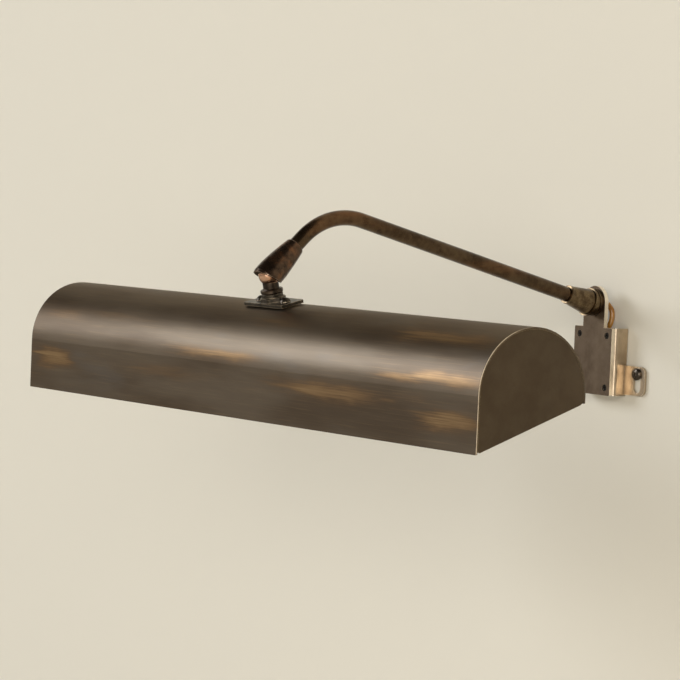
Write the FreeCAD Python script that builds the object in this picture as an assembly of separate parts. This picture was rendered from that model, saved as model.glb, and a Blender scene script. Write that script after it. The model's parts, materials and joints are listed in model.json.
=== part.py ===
"""Picture light: a brass trough shade on a slotted ball knuckle, carried by a bent tube from a wall box.

Row frame: millimetres, +Z up. The origin is the centre of the wall box's back, which lies on the wall
plane y = 0. The lamp hangs out along -Y and +X is to the right for a viewer who faces the wall.
"""
import FreeCAD, Part
import math
import os

from FreeCAD import Placement, Rotation, Vector

# ---------------------------------------------------------------- driving dimensions
SHADE_LENGTH = 475.0        # along X
SHADE_R = 38.0              # outer radius of the rolled top
SHEET = 1.0                 # brass sheet of the shade
FRONT_SKIRT = 31.8          # straight front below the roll's centre
OPENING_SLANT = 20.0        # the mouth of the shade faces back towards the picture
NECK_LEAN = 14.0            # the neck stands square on the roll, this far forward of its top
SHADE_CENTRE = Vector(0, -260.5, -2.5)

BALL_HEIGHT = 56.3          # ball centre above the roll's centre, along the neck
BALL_R = 6.6
NECK_R = 4.9
SPIGOT_R = 4.0              # foot of the stem, which turns in the base column
SPIGOT_END = 29.0           # height of the stem's lower end above the roll's centre
RUN_GAP = 0.05              # radial clearance of a running fit
TILT_UP = 30.0              # the stem's swing from rest towards the wall
TILT_DOWN = 55.0            # and away from it
CUP_TOP = 14.0              # joint line of the barrel's two halves, above the ball's centre
MOUTH_DEPTH = 2.5           # the cup's slanted mouth, below the ball's centre
MOUTH_SLANT = 22.0
SLOT_SPARE = 5.0            # the barrel's slot runs this many degrees past the stem's swing
LEAD_GAP = 4.4              # the arm's lead ends this far from the ball's centre

BARREL_RISE = 44.0          # barrel axis above the horizontal
ARM_DROP = 14.5             # the arm falls this much on its way to the wall
ARM_BEND_R = 47.0
TUBE_R = 4.75
TUBE_BORE_R = 3.75
LEAD_R = 1.8

BOX_W = 37.0
BOX_H = 44.0
BOX_DEPTH = 11.0
BOX_SHEET = 1.5
BOX_FOLD_R = 3.2
PLATE_T = 3.0
TONGUE_W = 20.8
STUD_Z = 38.5               # height of the hollow stud above the origin
EAR_TOP = -2.0
EAR_BOTTOM = -BOX_H / 2 + 1.0
EAR_REACH = 20.0            # each ear's width beyond the box
SLOT_X = 31.0
SLOT_W = 7.0
SLOT_LOW = -15.8
SLOT_HIGH = -6.9
PLATE_HOLE_X = 13.5
PLATE_HOLE_Z = 17.0
BRIDGE = (-3.0, 1.5)        # strap across the box's open back, between the connector's two rows of screws
BLOCK = (-9.0, 7.0)         # connector, from bottom to top
BLOCK_ROWS = (-6.0, 4.0)    # its rows of clamp screws
BLOCK_SCREW_Z = -1.0
WIRE_Y = -5.4               # wire holes of the connector, in front of the wall
LEAD_END = Vector(0.6, WIRE_Y, 12.0)

STRAP_TOP = 35.25           # lamp strap's upper face above the roll's centre
STRAP_T = 1.5
STRAP_W = 12.0
LEG_X = 64.0                # inner face of each lamp holder's leg
LAMP_F = -3.0               # lamp axis, measured back from the neck axis
LAMP_H = 5.0                # lamp axis, measured up from the roll's centre
DOME_X = 12.6
TOP_PLATE = (40.0, 17.0, 2.0)

# ---------------------------------------------------------------- derived places
OUT = "parts"
X_AXIS = Vector(1, 0, 0)
Y_AXIS = Vector(0, 1, 0)
Z_AXIS = Vector(0, 0, 1)
TOUCH = 0.05                # drawn gap between pieces that only meet

UPRIGHT = Placement(SHADE_CENTRE, Rotation())
LEANING = Placement(SHADE_CENTRE, Rotation(X_AXIS, NECK_LEAN))
BALL_CENTRE = LEANING.multVec(Vector(0, 0, BALL_HEIGHT))
KNUCKLE = Placement(BALL_CENTRE, Rotation(X_AXIS, BARREL_RISE - 90.0))
PLATE_TOP = SHADE_R + TOUCH + TOP_PLATE[2]
PLATE_FRONT_Y = -(BOX_DEPTH + PLATE_T)
COLLAR_LENGTH = 6.5
STUD_END = -BOX_DEPTH + 3.4
COLLAR_FACE = Vector(0, PLATE_FRONT_Y - COLLAR_LENGTH, STUD_Z)
ARM_OUT = Vector(0, -math.cos(math.radians(ARM_DROP)), math.sin(math.radians(ARM_DROP)))
BARREL_UP = KNUCKLE.Rotation.multVec(Z_AXIS)
STEM_SWING = 90.0 + NECK_LEAN - BARREL_RISE     # stem's angle off the barrel axis at rest


# ---------------------------------------------------------------- shape helpers
def save(name, shape):
    """Write one named piece, or a group of like pieces, as STEP."""
    shape.exportStep(os.path.join(OUT, name + ".step"))
    solids = len(shape.Solids)
    print("%-20s solids %2d  volume %10.1f  valid %s" % (name, solids, shape.Volume, shape.isValid()))


def group(shapes):
    """Several separate solids in one node."""
    return Part.Compound(shapes)


def polygon(points):
    """Closed wire through points."""
    return Part.makePolygon(list(points) + [points[0]])


def turned(profile, base=Vector(0, 0, 0), direction=Z_AXIS):
    """Body of revolution: profile holds (distance along the axis, radius) pairs."""
    wire = polygon([Vector(radius, 0, along) for along, radius in profile])
    solid = Part.Face(wire).revolve(Vector(0, 0, 0), Z_AXIS, 360)
    return solid.transformed(Placement(base, Rotation(Z_AXIS, direction)).toMatrix())


def placed(shape, placement):
    """Copy of a shape, moved from a local frame into the row frame."""
    return shape.transformed(placement.toMatrix())


def rod(radius, start, end):
    """Round bar from one point to another."""
    along = end - start
    return Part.makeCylinder(radius, along.Length, start, along)


def block(x_range, y_range, z_range):
    """Box between two corners."""
    size = [high - low for low, high in (x_range, y_range, z_range)]
    return Part.makeBox(size[0], size[1], size[2], Vector(x_range[0], y_range[0], z_range[0]))


def hexagon(flats, low, high, centre=Vector(0, 0, 0), direction=Z_AXIS):
    """Hexagonal bar, flats wide across its flats, from low to high along direction."""
    corner = flats / math.sqrt(3)
    turns = [math.radians(60 * k) for k in range(6)]
    wire = polygon([Vector(corner * math.cos(a), corner * math.sin(a), low) for a in turns])
    bar = Part.Face(wire).extrude(Vector(0, 0, high - low))
    return bar.transformed(Placement(centre, Rotation(Z_AXIS, direction)).toMatrix())


def rounded_edges(shape, radius, wanted):
    """Fillet the edges for which wanted(edge) is true."""
    return shape.makeFillet(radius, [edge for edge in shape.Edges if wanted(edge)])


def runs_along(edge, axis):
    """True for a straight edge parallel to axis."""
    return isinstance(edge.Curve, Part.Line) and abs(edge.tangentAt(edge.FirstParameter).dot(axis)) > 0.999


def route(points, radii=None):
    """Straight runs joined by tangent arcs. A radius of None takes 0.45 of the shorter run."""
    radii = radii or [None] * (len(points) - 2)
    edges = []
    here = points[0]
    for before, corner, after, radius in zip(points, points[1:], points[2:], radii):
        into = (corner - before).normalize()
        onward = (after - corner).normalize()
        half_turn = into.getAngle(onward) / 2
        if radius is None:
            radius = 0.45 * min((corner - before).Length, (after - corner).Length) / math.tan(half_turn)
        reach = radius * math.tan(half_turn)
        inward = (onward - into).normalize()
        middle = corner + inward * (radius / math.cos(half_turn) - radius)
        start = corner - into * reach
        end = corner + onward * reach
        if (start - here).Length > 1e-6:
            edges.append(Part.LineSegment(here, start).toShape())
        edges.append(Part.Arc(start, middle, end).toShape())
        here = end
    edges.append(Part.LineSegment(here, points[-1]).toShape())
    return Part.Wire(edges)


def swept(wire, radius):
    """Round bar that follows a route."""
    first = wire.Edges[0]
    circle = Part.Circle(first.valueAt(first.FirstParameter), first.tangentAt(first.FirstParameter), radius)
    return wire.makePipeShell([Part.Wire([circle.toShape()])], True, False)


# ---------------------------------------------------------------- wall box and arm plate
def slotted_ear(side):
    """Flat ear beside the box with a vertical slot for the wall screw."""
    inner = side * (BOX_W / 2 - 1.0)
    outer = side * (BOX_W / 2 + EAR_REACH)
    ear = block(sorted((inner, outer)), (-BOX_SHEET, 0), (EAR_BOTTOM, EAR_TOP))
    ear = rounded_edges(ear, 4.5, lambda e: runs_along(e, Y_AXIS) and abs(e.CenterOfMass.x) > BOX_W / 2 + 5)
    centre = side * SLOT_X
    half = SLOT_W / 2
    slot = block((centre - half, centre + half), (-5, 1), (SLOT_LOW, SLOT_HIGH))
    for z in (SLOT_LOW, SLOT_HIGH):
        slot = slot.fuse(rod(half, Vector(centre, -5, z), Vector(centre, 1, z)))
    return ear.cut(slot)


def make_wall_box():
    """Sheet channel, open at its ends, with a bridge across its back and an ear folded out on each side."""
    half = BOX_W / 2
    outer = block((-half, half), (-BOX_DEPTH, 0), (-BOX_H / 2, BOX_H / 2))
    room = block((BOX_SHEET - half, half - BOX_SHEET), (BOX_SHEET - BOX_DEPTH, 1), (-BOX_H, BOX_H))
    outer, room = [rounded_edges(shape, r, lambda e: runs_along(e, Z_AXIS) and e.CenterOfMass.y < -BOX_DEPTH / 2)
                   for shape, r in ((outer, BOX_FOLD_R), (room, BOX_FOLD_R - BOX_SHEET))]
    box = outer.cut(room).fuse(block((1 - half, half - 1), (-BOX_SHEET, 0), BRIDGE))
    for side in (-1, 1):
        box = box.fuse(slotted_ear(side))
    for x, z in plate_hole_places():
        box = box.cut(rod(1.25, Vector(x, -BOX_DEPTH - 1, z), Vector(x, 0, z)))
    box = box.cut(rod(1.5, Vector(0, -BOX_DEPTH - 1, BLOCK_SCREW_Z), Vector(0, -5, BLOCK_SCREW_Z)))
    box = box.cut(Part.makeCone(2.75, 1.5, 1.25, Vector(0, -BOX_DEPTH, BLOCK_SCREW_Z), Y_AXIS))
    box = box.cut(rod(1.25, Vector(-11, -BOX_DEPTH - 1, 10), Vector(-11, -5, 10)))
    save("wall_box", box.removeSplitter())


def plate_hole_places():
    """The four corner fixings of the arm plate."""
    return [(x, z) for x in (-PLATE_HOLE_X, PLATE_HOLE_X) for z in (-PLATE_HOLE_Z, PLATE_HOLE_Z)]


def make_arm_plate():
    """Flat plate with a round-topped tongue that carries the arm."""
    y_back = -BOX_DEPTH - TOUCH
    lower = block((-BOX_W / 2, BOX_W / 2), (PLATE_FRONT_Y, y_back), (-BOX_H / 2, BOX_H / 2))
    lower = rounded_edges(lower, 0.8, lambda e: runs_along(e, Y_AXIS))
    tongue = block((-TONGUE_W / 2, TONGUE_W / 2), (PLATE_FRONT_Y, y_back), (BOX_H / 2 - 5, STUD_Z))
    top = rod(TONGUE_W / 2, Vector(0, PLATE_FRONT_Y, STUD_Z), Vector(0, y_back, STUD_Z))
    plate = lower.fuse(tongue).fuse(top)
    plate = plate.cut(rod(5.05, Vector(0, PLATE_FRONT_Y - 1, STUD_Z), Vector(0, y_back + 1, STUD_Z)))
    for x, z in plate_hole_places():
        plate = plate.cut(rod(1.4, Vector(x, PLATE_FRONT_Y - 1, z), Vector(x, y_back + 1, z)))
        plate = plate.cut(rod(2.25, Vector(x, PLATE_FRONT_Y - 1, z), Vector(x, PLATE_FRONT_Y + 2.0, z)))
    save("arm_plate", plate.removeSplitter())


def cross_recess(width, depth):
    """Tapered cross for a driver, cut down from z = 0."""
    bar = block((-width / 2, width / 2), (-0.35, 0.35), (-depth, 1))
    return bar.fuse(placed(bar, Placement(Vector(0, 0, 0), Rotation(Z_AXIS, 90))))


def machine_screw(head_r, head_h, shank_r, length, recess):
    """Screw along -Z with its head's top at z = 0."""
    body = turned([(0, 0), (0, head_r - 0.3), (-0.3, head_r), (-head_h, head_r), (-head_h, shank_r),
                   (-head_h - length, shank_r), (-head_h - length, 0)])
    return body.cut(cross_recess(recess, 0.7))


def make_plate_screws():
    """Four cheese-head screws, sunk in the arm plate and tapped into the box."""
    screws = []
    for x, z in plate_hole_places():
        screw = machine_screw(2.15, 1.5, 1.2, 3.6, 2.6)
        spot = Placement(Vector(x, PLATE_FRONT_Y + 0.45, z), Rotation(X_AXIS, 90))
        screws.append(placed(screw, spot))
    save("plate_screws", group(screws))


def make_wall_screws():
    """Pan-head wood screws at the top of the ear slots."""
    screws = []
    for side in (-1, 1):
        body = turned([(0, 0), (0, 1.8), (-0.5, 3.2), (-1.4, 4.0), (-2.4, 4.0), (-2.4, 1.7),
                       (-22, 1.7), (-26, 0.2), (-26, 0)])
        screw = body.cut(cross_recess(3.6, 1.1))
        spot = Placement(Vector(side * SLOT_X, -BOX_SHEET - TOUCH - 2.4, SLOT_HIGH), Rotation(X_AXIS, 90))
        screws.append(placed(screw, spot))
    save("wall_screws", group(screws))


# ---------------------------------------------------------------- wiring in the wall box
def make_terminal_block():
    """Two-way moulded connector, wire holes top and bottom, screws towards the wall."""
    body = block((-9, 9), (-BOX_DEPTH + BOX_SHEET + TOUCH, -BOX_SHEET - 0.3), BLOCK)
    body = rounded_edges(body, 0.8, lambda e: runs_along(e, Z_AXIS))
    for x in (-5, 5):
        body = body.cut(rod(1.6, Vector(x, WIRE_Y, -12), Vector(x, WIRE_Y, 12)))
        for z in BLOCK_ROWS:
            body = body.cut(rod(1.9, Vector(x, -3.7, z), Vector(x, -1, z)))
    body = body.cut(rod(1.55, Vector(0, -12, BLOCK_SCREW_Z), Vector(0, -3.6, BLOCK_SCREW_Z)))
    save("terminal_block", body)


def make_terminal_screws():
    """Clamp screws of the connector."""
    screws = []
    for x in (-5, 5):
        for z in BLOCK_ROWS:
            screw = machine_screw(1.7, 0.8, 1.7, 0.2, 2.2)
            screws.append(placed(screw, Placement(Vector(x, -2.65, z), Rotation(X_AXIS, -90))))
    save("terminal_screws", group(screws))


def make_block_screw():
    """Countersunk screw from the front of the box into the connector, behind the arm plate."""
    body = turned([(0, 0), (0, 2.35), (-0.1, 2.4), (-1.05, 1.45), (-6.4, 1.45), (-6.4, 0)])
    spot = Placement(Vector(0, -BOX_DEPTH + 0.1, BLOCK_SCREW_Z), Rotation(X_AXIS, 90))
    save("block_screw", placed(body.cut(cross_recess(2.6, 0.7)), spot))


def make_earth_screw():
    """Earth screw, tapped into the front of the box."""
    screw = machine_screw(2.5, 1.6, 1.2, BOX_SHEET + 0.65, 2.8)
    y_head = -BOX_DEPTH + BOX_SHEET + 0.75 + 1.6
    save("earth_screw", placed(screw, Placement(Vector(-11, y_head, 10), Rotation(X_AXIS, -90))))


def make_earth_tag():
    """Flat ring tag under the earth screw with a crimped tail."""
    y_low = -BOX_DEPTH + BOX_SHEET + TOUCH
    ring = rod(3.0, Vector(-11, y_low, 10), Vector(-11, y_low + 0.6, 10))
    tail = block((-12.2, -9.8), (y_low, y_low + 0.6), (10, 15.5))
    ring = ring.fuse(tail).cut(rod(1.3, Vector(-11, y_low - 1, 10), Vector(-11, y_low + 2, 10)))
    save("earth_tag", ring.removeSplitter())


# ---------------------------------------------------------------- arm
def make_collar():
    """Round boss on the tongue, faced square to the falling arm."""
    boss = rod(9.0, Vector(0, -PLATE_T - 30, STUD_Z), Vector(0, PLATE_FRONT_Y - TOUCH, STUD_Z))
    cutter = rod(20, COLLAR_FACE, COLLAR_FACE + ARM_OUT * 30)
    boss = boss.cut(cutter).cut(rod(5.0, Vector(0, -40, STUD_Z), Vector(0, 0, STUD_Z)))
    groove = turned([(0, 8.5), (0, 12), (0.9, 12), (0.9, 8.5)], Vector(0, PLATE_FRONT_Y - 3.2, STUD_Z), Y_AXIS)
    save("collar", boss.cut(groove))


def make_ferrule():
    """Tapered socket that the arm tube is brazed into."""
    profile = [(TOUCH, 3.7), (TOUCH, 8.3), (1.2, 8.5), (2.4, 8.1), (16.4, 6.1), (17.4, 6.25), (18.4, 6.0),
               (18.4, TUBE_R + TOUCH), (5.0, TUBE_R + TOUCH), (5.0, 3.7)]
    save("ferrule", turned(profile, COLLAR_FACE, ARM_OUT))


def make_stud():
    """Hollow threaded stud through the collar and the tongue."""
    length = STUD_END - COLLAR_FACE.y - 1.4
    profile = [(0, 3.2), (0, 4.6), (0.4, 4.95), (length - 0.4, 4.95), (length, 4.6), (length, 3.2)]
    save("stud", turned(profile, Vector(0, STUD_END - length, STUD_Z), Y_AXIS))


def make_back_nut():
    """Thin nut that clamps the arm to the tongue."""
    nut = hexagon(14.0, 0, 2.6, Vector(0, -BOX_DEPTH, STUD_Z), Y_AXIS)
    nut = nut.cut(rod(5.0, Vector(0, -20, STUD_Z), Vector(0, 0, STUD_Z)))
    save("back_nut", nut)


def make_stud_bush():
    """Moulded bush that keeps the lead off the stud's edge."""
    profile = [(-3.5, 2.35), (-3.5, 3.15), (0.05, 3.15), (0.05, 4.4), (0.6, 4.2), (0.8, 3.0), (0.6, 2.35)]
    save("stud_bush", turned(profile, Vector(0, STUD_END, STUD_Z), Y_AXIS))


def arm_corner():
    """Point where the barrel's axis and the falling run of the arm cross."""
    gap = COLLAR_FACE - BALL_CENTRE
    sine = BARREL_UP.y * ARM_OUT.z - BARREL_UP.z * ARM_OUT.y
    along = (gap.y * ARM_OUT.z - gap.z * ARM_OUT.y) / sine
    return BALL_CENTRE + BARREL_UP * along


def make_arm_tube():
    """Bent brass tube from the barrel to the ferrule."""
    points = [BALL_CENTRE + BARREL_UP * 15.2, arm_corner(), COLLAR_FACE + ARM_OUT * 5.2]
    centre_line = route(points, [ARM_BEND_R])
    tube = swept(centre_line, TUBE_R).cut(swept(centre_line, TUBE_BORE_R))
    save("arm_tube", tube)


def make_arm_lead():
    """Lead held by the arm: from the ball, through tube and stud, and down into the wall box."""
    points = [BALL_CENTRE + BARREL_UP * LEAD_GAP, arm_corner(), COLLAR_FACE, Vector(0.2, -3.9, STUD_Z),
              Vector(4.6, -2.4, 33.0), Vector(4.9, -2.5, 27.0), Vector(2.6, -4.4, 19.5), LEAD_END]
    wire = route(points, [ARM_BEND_R, 22.0, 3.6, 6.0, None, None])
    lead = swept(wire, LEAD_R)
    drawn = math.pi * LEAD_R ** 2 * wire.Length
    print("arm lead length %.1f, volume ratio %.5f" % (wire.Length, lead.Volume / drawn))
    save("arm_lead", lead)


def make_lead_cores():
    """Two insulated cores into the connector and the earth core to its tag."""
    start = LEAD_END - Z_AXIS * 1.5
    cores = []
    for x in (-5.0, 5.0):
        points = [start + Vector(math.copysign(0.95, x), 0, 0), start + Vector(x * 0.5, 0.2, -2.2),
                  Vector(x, WIRE_Y, 8.6), Vector(x, WIRE_Y, 5.4)]
        cores.append(swept(route(points), 0.85))
    earth = [start + Vector(0, -1.5, 0.3), Vector(-4.5, -7.2, 13.4), Vector(-8.2, -7.2, 16.0),
             Vector(-11.0, -7.3, 15.6), Vector(-11.0, -7.5, 13.6)]
    cores.append(swept(route(earth), 0.7))
    save("lead_cores", group(cores))


# ---------------------------------------------------------------- knuckle
def stem_direction(angle):
    """Direction in the knuckle's frame, angle degrees from its mouth towards its slot."""
    turn = math.radians(angle)
    return Vector(0, math.sin(turn), -math.cos(turn))


def fan(half_width, first, last, reach):
    """Wedge about X, 2 half_width thick, between two angles counted from Y towards Z."""
    steps = 8
    turns = [math.radians(first + (last - first) * k / steps) for k in range(steps + 1)]
    rim = [Vector(-half_width, reach * math.cos(a), reach * math.sin(a)) for a in turns]
    wire = polygon([Vector(-half_width, 0, 0)] + rim)
    return Part.Face(wire).extrude(Vector(2 * half_width, 0, 0))


def stem_slot():
    """Space that the neck sweeps through the barrel's wall, in the knuckle's frame."""
    half = NECK_R + 0.35
    last = stem_direction(STEM_SWING + TILT_UP + SLOT_SPARE)
    slot = rod(half, Vector(0, 0, 0), last * 20)
    sector = polygon([Vector(-half, 0, 0), last * 20 + Vector(-half, 0, 0), Vector(-half, 25, -25),
                      stem_direction(20) * 20 + Vector(-half, 0, 0)])
    return slot.fuse(Part.Face(sector).extrude(Vector(2 * half, 0, 0)))


def make_barrel_cup():
    """Turned cup that holds the ball; its mouth is cut on the slant and slotted for the stem."""
    seat = BALL_R + RUN_GAP
    bore = BALL_R + 0.15
    outer = turned([(-6.2, 0), (-6.2, 7.2), (-5.2, 8.1), (-3.6, 8.6), (-1.0, 8.75), (3.0, 8.7), (7.0, 8.45),
                    (CUP_TOP, 7.65), (CUP_TOP, 0)])
    room = turned([(0, 0), (0, bore), (20, bore), (20, 0)]).fuse(Part.makeSphere(seat))
    cup = outer.cut(room)
    slant = Placement(Vector(0, 0, -MOUTH_DEPTH), Rotation(X_AXIS, MOUTH_SLANT))
    cup = cup.cut(placed(block((-20, 20), (-30, 30), (-30, 0)), slant))
    cup = cup.cut(stem_slot())
    save("barrel_cup", placed(cup, KNUCKLE))


def make_barrel_cap():
    """Tapered top of the barrel: screws into the cup and is brazed to the tube."""
    bore = TUBE_R + TOUCH
    low = CUP_TOP + TOUCH
    profile = [(low, 7.64), (18.5, 7.05), (22.0, 6.5), (25.0, 6.0), (25.6, 5.6), (25.6, bore), (15.0, bore),
               (15.0, 3.0), (11.0, 3.0), (11.0, BALL_R + 0.1), (low, BALL_R + 0.1)]
    save("barrel_cap", turned(profile, BALL_CENTRE, BARREL_UP))


def make_ball_seat():
    """Moulded friction seat behind the ball."""
    outer = BALL_R + 0.1
    blank = turned([(3.0, 3.2), (3.0, outer), (8.0, outer), (8.0, 3.2)])
    blank = blank.cut(Part.makeSphere(BALL_R + RUN_GAP)).cut(stem_slot())
    save("ball_seat", placed(blank, KNUCKLE))


def make_disc_springs():
    """Pair of disc springs that load the seat."""
    springs = []
    for low, cone in ((8.1, 0.8), (10.9, -0.8)):
        thick = math.copysign(0.45, cone)
        profile = [(low, 6.4), (low + cone, 3.6), (low + cone + thick, 3.6), (low + thick, 6.4)]
        springs.append(turned(profile, BALL_CENTRE, BARREL_UP))
    save("disc_springs", group(springs))


def make_ball_stem():
    """Ball, neck and swivel spigot in one piece, bored for the lead."""
    low = SPIGOT_END - BALL_HEIGHT
    ring = 45.15 - BALL_HEIGHT
    profile = [(low, 0), (low, SPIGOT_R - 0.4), (low + 0.4, SPIGOT_R), (ring, SPIGOT_R), (ring, 6.5),
               (ring + 0.4, 6.9), (ring + 1.9, 6.9), (ring + 2.3, 6.5), (ring + 2.3, 5.5),
               (ring + 3.0, NECK_R), (0, NECK_R), (0, 0)]
    stem = turned(profile).fuse(Part.makeSphere(BALL_R))
    stem = stem.cut(rod(2.6, Vector(0, 0, low - 1), Vector(0, 0, 1)))
    tube_way = BARREL_RISE - NECK_LEAN
    stem = stem.cut(fan(2.7, tube_way - TILT_UP - 29, tube_way + TILT_DOWN + 29, 12))
    save("ball_stem", placed(stem, stem_frame()))


def stem_frame():
    """Frame at the ball's centre with Z up the neck."""
    return Placement(BALL_CENTRE, Rotation(X_AXIS, NECK_LEAN))


def make_stem_lead():
    """Lead inside the stem, from the ball to the shade."""
    lead = rod(LEAD_R, Vector(0, 0, SPIGOT_END - BALL_HEIGHT + 0.6), Vector(0, 0, -3.4))
    save("stem_lead", placed(lead, stem_frame()))


def make_stem_nut():
    """Thin nut that keeps the swivel together, inside the shade."""
    top = STRAP_TOP - STRAP_T - 0.75
    nut = hexagon(13.0, top - 2.6, top).cut(rod(SPIGOT_R + TOUCH, Vector(0, 0, 20), Vector(0, 0, 40)))
    save("stem_nut", placed(nut, LEANING))


def make_stem_washer():
    """Plain friction washer over the nut."""
    top = STRAP_TOP - STRAP_T - 0.1
    washer = turned([(top - 0.6, SPIGOT_R + TOUCH), (top - 0.6, 7.4), (top, 7.4), (top, SPIGOT_R + TOUCH)])
    save("stem_washer", placed(washer, LEANING))


# ---------------------------------------------------------------- top of the shade
def make_base_column():
    """Hexagon-footed column on the top plate, bearing for the stem."""
    foot = hexagon(14.4, PLATE_TOP + TOUCH, PLATE_TOP + 2.6)
    foot = foot.common(turned([(PLATE_TOP, 0), (PLATE_TOP, 7.9), (PLATE_TOP + 1.9, 7.9), (PLATE_TOP + 2.6, 7.2),
                               (PLATE_TOP + 2.6, 0)]))
    column = turned([(36.9, 0), (36.9, 5.35), (PLATE_TOP + 2.0, 5.35), (PLATE_TOP + 2.0, 6.6), (44.6, 6.6),
                     (45.1, 6.1), (45.1, 0)])
    column = column.fuse(foot).cut(rod(SPIGOT_R + RUN_GAP, Vector(0, 0, 30), Vector(0, 0, 60)))
    save("base_column", placed(column.removeSplitter(), LEANING))


def make_top_plate():
    """Flat plate that spreads the knuckle's load over the roll."""
    length, width, thick = TOP_PLATE
    plate = block((-length / 2, length / 2), (-width / 2, width / 2), (PLATE_TOP - thick, PLATE_TOP))
    plate = rounded_edges(plate, 0.9, lambda e: runs_along(e, Z_AXIS))
    plate = plate.cut(rod(5.4, Vector(0, 0, 30), Vector(0, 0, 50)))
    for side in (-1, 1):
        x = side * DOME_X
        plate = plate.cut(rod(2.1, Vector(x, 0, 30), Vector(x, 0, 50)))
    save("top_plate", placed(plate, LEANING))


def make_dome_screws():
    """Two dome-headed screws through plate, roll, reflector and strap."""
    screws = []
    for side in (-1, 1):
        dome = Part.makeSphere(3.6, Vector(0, 0, -0.9)).common(Part.makeCylinder(4, 5))
        screw = dome.fuse(Part.makeCylinder(1.95, 11.0, Vector(0, 0, -11.0)))
        screws.append(placed(screw, Placement(Vector(side * DOME_X, 0, PLATE_TOP + TOUCH), Rotation())))
    save("dome_screws", placed(group(screws), LEANING))


def make_dome_nuts():
    """Nuts of the dome screws, under the lamp strap."""
    top = STRAP_TOP - STRAP_T - TOUCH
    nuts = []
    for side in (-1, 1):
        centre = Vector(side * DOME_X, 0, 0)
        nut = hexagon(7.0, top - 2.9, top, centre)
        nuts.append(nut.cut(rod(1.97, centre + Z_AXIS * 20, centre + Z_AXIS * 40)))
    save("dome_nuts", placed(group(nuts), LEANING))


# ---------------------------------------------------------------- shade
def mouth_z(y):
    """Height of the slanted mouth at a distance y back from the roll's centre."""
    return -FRONT_SKIRT + (y + SHADE_R) * math.tan(math.radians(OPENING_SLANT))


def roll_half(radius, front_z, back_z):
    """Outline of one side of the trough wall: front skirt, half-round top and back skirt."""
    crown = Part.Arc(Vector(0, -radius, 0), Vector(0, 0, radius), Vector(0, radius, 0)).toShape()
    front = Part.LineSegment(Vector(0, -radius, front_z), Vector(0, -radius, 0)).toShape()
    back = Part.LineSegment(Vector(0, radius, 0), Vector(0, radius, back_z)).toShape()
    return [front, crown, back]


def trough(outer_r, inner_r, front_z, back_z, length):
    """Bent sheet between two radii; front_z and back_z give its lower edges at a distance y."""
    outer = roll_half(outer_r, front_z(-outer_r), back_z(outer_r))
    inner = roll_half(inner_r, front_z(-inner_r), back_z(inner_r))
    ends = [Part.LineSegment(Vector(0, -outer_r, front_z(-outer_r)), Vector(0, -inner_r, front_z(-inner_r))),
            Part.LineSegment(Vector(0, outer_r, back_z(outer_r)), Vector(0, inner_r, back_z(inner_r)))]
    wire = Part.Wire(Part.__sortEdges__(outer + inner + [end.toShape() for end in ends]))
    sheet = Part.Face(wire).extrude(Vector(length, 0, 0))
    sheet.translate(Vector(-length / 2, 0, 0))
    return sheet


def neck_holes(centre_r, screw_r):
    """Bars for the stem's hole and the dome screws' holes, in the upright frame."""
    holes = rod(centre_r, Vector(0, 0, 30), Vector(0, 0, 45))
    for side in (-1, 1):
        x = side * DOME_X
        holes = holes.fuse(rod(screw_r, Vector(x, 0, 30), Vector(x, 0, 45)))
    return placed(holes, Placement(Vector(0, 0, 0), Rotation(X_AXIS, NECK_LEAN)))


def make_shade_shell():
    """Rolled brass trough with vertical skirts and a slanted mouth."""
    shell = trough(SHADE_R, SHADE_R - SHEET, mouth_z, mouth_z, SHADE_LENGTH)
    shell = shell.cut(neck_holes(5.5, 2.1))
    save("shade_shell", placed(shell, UPRIGHT))


def make_end_caps():
    """Flat cheeks, soldered flush inside each end of the trough."""
    radius = SHADE_R - SHEET - TOUCH
    edges = roll_half(radius, mouth_z(-radius), mouth_z(radius))
    edges.append(Part.LineSegment(Vector(0, -radius, mouth_z(-radius)), Vector(0, radius, mouth_z(radius))).toShape())
    cheek = Part.Face(Part.Wire(Part.__sortEdges__(edges))).extrude(Vector(1.2, 0, 0))
    for name, x in (("end_cap_left", -SHADE_LENGTH / 2), ("end_cap_right", SHADE_LENGTH / 2 - 1.2)):
        moved = cheek.copy()
        moved.translate(Vector(x, 0, 0))
        save(name, placed(moved, UPRIGHT))


def make_reflector():
    """Bright sheet liner inside the roll."""
    outer_r = SHADE_R - SHEET - 0.6
    liner = trough(outer_r, outer_r - 0.5, lambda y: -20.0, lambda y: -0.5, SHADE_LENGTH - 14)
    liner = liner.cut(neck_holes(5.7, 2.2))
    save("reflector", placed(liner, UPRIGHT))


# ---------------------------------------------------------------- lamps
def make_lamp_strap():
    """Strap along the roof of the shade with a leg down to each lamp holder."""
    low = STRAP_TOP - STRAP_T
    strap = block((-LEG_X - STRAP_T, LEG_X + STRAP_T), (-STRAP_W / 2, STRAP_W / 2), (low, STRAP_TOP))
    for side in (-1, 1):
        inner = side * LEG_X
        outer = side * (LEG_X + STRAP_T)
        x_range = sorted((inner, outer))
        leg = block(x_range, (-STRAP_W / 2, STRAP_W / 2), (LAMP_H, STRAP_TOP))
        disc = rod(9.5, Vector(x_range[0], LAMP_F, LAMP_H), Vector(x_range[1], LAMP_F, LAMP_H))
        strap = strap.fuse(leg).fuse(disc)
        strap = strap.cut(rod(5.1, Vector(inner - 5, LAMP_F, LAMP_H), Vector(inner + 5, LAMP_F, LAMP_H)))
        strap = strap.cut(rod(2.1, Vector(side * DOME_X, 0, 20), Vector(side * DOME_X, 0, 40)))
    strap = strap.cut(rod(4.4, Vector(0, 0, 20), Vector(0, 0, 40)))
    save("lamp_strap", placed(strap.removeSplitter(), LEANING))


def lamp_axis(side):
    """Start point and direction of a lamp's axis, from its leg's outer face outwards."""
    return Vector(side * (LEG_X + STRAP_T), LAMP_F, LAMP_H), Vector(side, 0, 0)


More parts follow.
